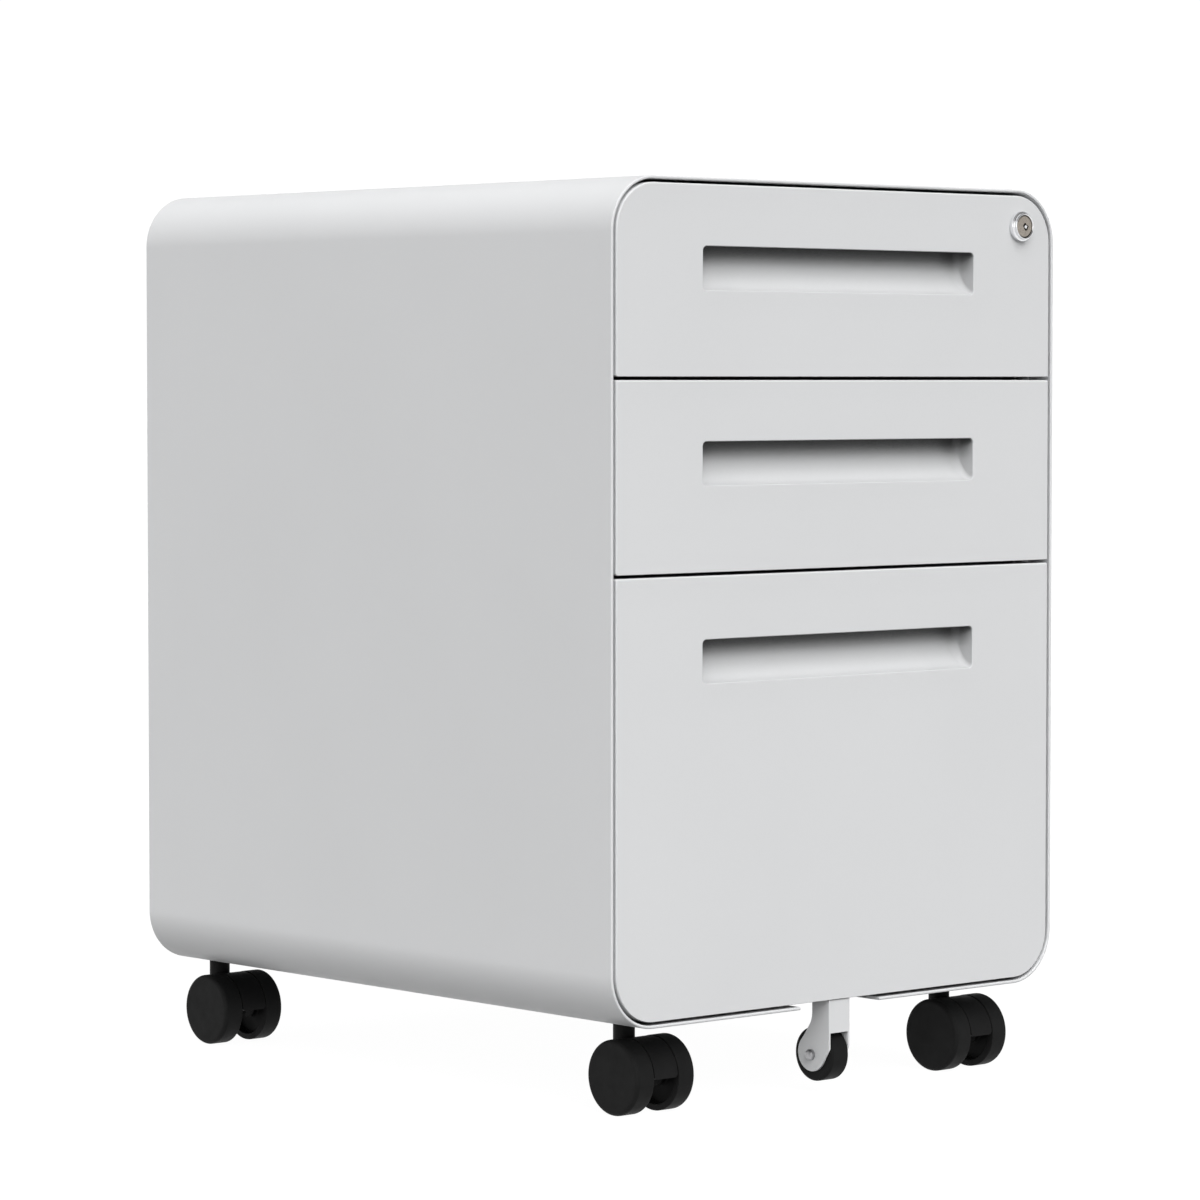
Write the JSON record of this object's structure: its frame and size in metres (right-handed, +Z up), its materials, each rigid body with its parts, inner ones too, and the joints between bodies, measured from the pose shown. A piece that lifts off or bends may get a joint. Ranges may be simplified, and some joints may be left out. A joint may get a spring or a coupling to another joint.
{
  "type": "mobile filing cabinet",
  "caption": "Low metal filing pedestal on swivel casters: rounded wrap shell, drawers with recessed finger pulls, corner lock, and an anti-tip wheel under the file drawer.",
  "frame": {"origin": "centre of the footprint at floor level, under the middle of the overall box", "axes": "+Z up, +X to the cabinet's right as seen from its front, and -Y the way the drawers open"},
  "size_m": [0.39, 0.4802, 0.5785],
  "materials": {
    "body_paint": "light grey fine powder coat, satin",
    "inner_paint": "light grey powder coat, matt",
    "zinc_steel": "bright zinc plate",
    "lock_chrome": "polished chrome",
    "lock_nickel": "brushed nickel",
    "caster_nylon": "moulded black nylon, satin",
    "wheel_black": "moulded black nylon tread, satin"
  },
  "bodies": {
    "cabinet": {"outer_shell": "body_paint", "back_panel": "inner_paint", "left_slide_panel": "inner_paint", "right_slide_panel": "inner_paint", "front_caster_channel": "inner_paint", "rear_caster_channel": "inner_paint", "top_left_outer_slide": "zinc_steel", "top_right_outer_slide": "zinc_steel", "middle_left_outer_slide": "zinc_steel", "middle_right_outer_slide": "zinc_steel", "bottom_left_outer_slide": "zinc_steel", "bottom_right_outer_slide": "zinc_steel", "caster_fl_stem": "zinc_steel", "caster_fr_stem": "zinc_steel", "caster_rl_stem": "zinc_steel", "caster_rr_stem": "zinc_steel"},
    "top_drawer": {"top_drawer_front": "body_paint", "top_drawer_liner": "inner_paint", "top_drawer_box": "inner_paint", "top_left_inner_slide": "zinc_steel", "top_right_inner_slide": "zinc_steel", "lock_housing": "lock_chrome", "lock_nut": "zinc_steel"},
    "middle_drawer": {"middle_drawer_front": "body_paint", "middle_drawer_liner": "inner_paint", "middle_drawer_box": "inner_paint", "middle_left_inner_slide": "zinc_steel", "middle_right_inner_slide": "zinc_steel"},
    "bottom_drawer": {"bottom_drawer_front": "body_paint", "bottom_drawer_liner": "inner_paint", "bottom_drawer_box": "inner_paint", "bottom_left_inner_slide": "zinc_steel", "bottom_right_inner_slide": "zinc_steel", "file_rail_left": "zinc_steel", "file_rail_right": "zinc_steel", "anti_tip_bracket": "body_paint", "anti_tip_axle": "body_paint"},
    "bottom_middle_slides": {"bottom_left_middle_slide": "zinc_steel", "bottom_right_middle_slide": "zinc_steel"},
    "lock_core": {"lock_core": "lock_nickel", "lock_cam": "zinc_steel"},
    "lock_bar": {"lock_bar": "zinc_steel"},
    "anti_tip_wheel": {"anti_tip_wheel": "wheel_black"},
    "caster_fl_swivel": {"caster_fl_hood": "caster_nylon", "caster_fl_axle": "zinc_steel"},
    "caster_fl_wheel_left": {"caster_fl_wheel_left": "wheel_black"},
    "caster_fl_wheel_right": {"caster_fl_wheel_right": "wheel_black"},
    "caster_fr_swivel": {"caster_fr_hood": "caster_nylon", "caster_fr_axle": "zinc_steel"},
    "caster_fr_wheel_left": {"caster_fr_wheel_left": "wheel_black"},
    "caster_fr_wheel_right": {"caster_fr_wheel_right": "wheel_black"},
    "caster_rl_swivel": {"caster_rl_hood": "caster_nylon", "caster_rl_axle": "zinc_steel"},
    "caster_rl_wheel_left": {"caster_rl_wheel_left": "wheel_black"},
    "caster_rl_wheel_right": {"caster_rl_wheel_right": "wheel_black"},
    "caster_rr_swivel": {"caster_rr_hood": "caster_nylon", "caster_rr_axle": "zinc_steel"},
    "caster_rr_wheel_left": {"caster_rr_wheel_left": "wheel_black"},
    "caster_rr_wheel_right": {"caster_rr_wheel_right": "wheel_black"}
  },
  "joints": [
    {"name": "top_drawer_slide", "type": "slide", "parent": "cabinet", "child": "top_drawer", "axis": [0, -1, 0], "range_m": [0, 0.3]},
    {"name": "middle_drawer_slide", "type": "slide", "parent": "cabinet", "child": "middle_drawer", "axis": [0, -1, 0], "range_m": [0, 0.3]},
    {"name": "bottom_drawer_slide", "type": "slide", "parent": "cabinet", "child": "bottom_drawer", "axis": [0, -1, 0], "range_m": [0, 0.4]},
    {"name": "bottom_middle_slides_travel", "type": "slide", "parent": "cabinet", "child": "bottom_middle_slides", "axis": [0, -1, 0], "range_m": [0, 0.2]},
    {"name": "lock_turn", "type": "hinge", "parent": "top_drawer", "child": "lock_core", "pos_m": [0.1625, -0.2349, 0.5545], "axis": [0, -1, 0], "range_deg": [0, 90]},
    {"name": "lock_bar_lift", "type": "slide", "parent": "cabinet", "child": "lock_bar", "axis": [0, 0, 1], "range_m": [0, 0.0085]},
    {"name": "anti_tip_wheel_spin", "type": "hinge", "parent": "bottom_drawer", "child": "anti_tip_wheel", "pos_m": [0, -0.2182, 0.0252], "axis": [1, 0, 0], "continuous": true},
    {"name": "caster_fl_swivel_turn", "type": "hinge", "parent": "cabinet", "child": "caster_fl_swivel", "pos_m": [-0.1404, -0.1855, 0.0575], "axis": [0, 0, 1], "continuous": true},
    {"name": "caster_fl_wheel_left_spin", "type": "hinge", "parent": "caster_fl_swivel", "child": "caster_fl_wheel_left", "pos_m": [-0.1404, -0.2014, 0.0237], "axis": [1, 0, 0], "continuous": true},
    {"name": "caster_fl_wheel_right_spin", "type": "hinge", "parent": "caster_fl_swivel", "child": "caster_fl_wheel_right", "pos_m": [-0.1404, -0.2014, 0.0237], "axis": [1, 0, 0], "continuous": true},
    {"name": "caster_fr_swivel_turn", "type": "hinge", "parent": "cabinet", "child": "caster_fr_swivel", "pos_m": [0.1404, -0.1855, 0.0575], "axis": [0, 0, 1], "continuous": true},
    {"name": "caster_fr_wheel_left_spin", "type": "hinge", "parent": "caster_fr_swivel", "child": "caster_fr_wheel_left", "pos_m": [0.1404, -0.2014, 0.0237], "axis": [1, 0, 0], "continuous": true},
    {"name": "caster_fr_wheel_right_spin", "type": "hinge", "parent": "caster_fr_swivel", "child": "caster_fr_wheel_right", "pos_m": [0.1404, -0.2014, 0.0237], "axis": [1, 0, 0], "continuous": true},
    {"name": "caster_rl_swivel_turn", "type": "hinge", "parent": "cabinet", "child": "caster_rl_swivel", "pos_m": [-0.143, 0.2296, 0.0575], "axis": [0, 0, 1], "continuous": true},
    {"name": "caster_rl_wheel_left_spin", "type": "hinge", "parent": "caster_rl_swivel", "child": "caster_rl_wheel_left", "pos_m": [-0.143, 0.2137, 0.0237], "axis": [1, 0, 0], "continuous": true},
    {"name": "caster_rl_wheel_right_spin", "type": "hinge", "parent": "caster_rl_swivel", "child": "caster_rl_wheel_right", "pos_m": [-0.143, 0.2137, 0.0237], "axis": [1, 0, 0], "continuous": true},
    {"name": "caster_rr_swivel_turn", "type": "hinge", "parent": "cabinet", "child": "caster_rr_swivel", "pos_m": [0.143, 0.2296, 0.0575], "axis": [0, 0, 1], "continuous": true},
    {"name": "caster_rr_wheel_left_spin", "type": "hinge", "parent": "caster_rr_swivel", "child": "caster_rr_wheel_left", "pos_m": [0.143, 0.2137, 0.0237], "axis": [1, 0, 0], "continuous": true},
    {"name": "caster_rr_wheel_right_spin", "type": "hinge", "parent": "caster_rr_swivel", "child": "caster_rr_wheel_right", "pos_m": [0.143, 0.2137, 0.0237], "axis": [1, 0, 0], "continuous": true}
  ],
  "couplings": [
    {"joint": "bottom_middle_slides_travel", "follows": "bottom_drawer_slide", "ratio": 0.5},
    {"joint": "lock_turn", "follows": "lock_bar_lift", "rad_per_m": 184.8}
  ]
}
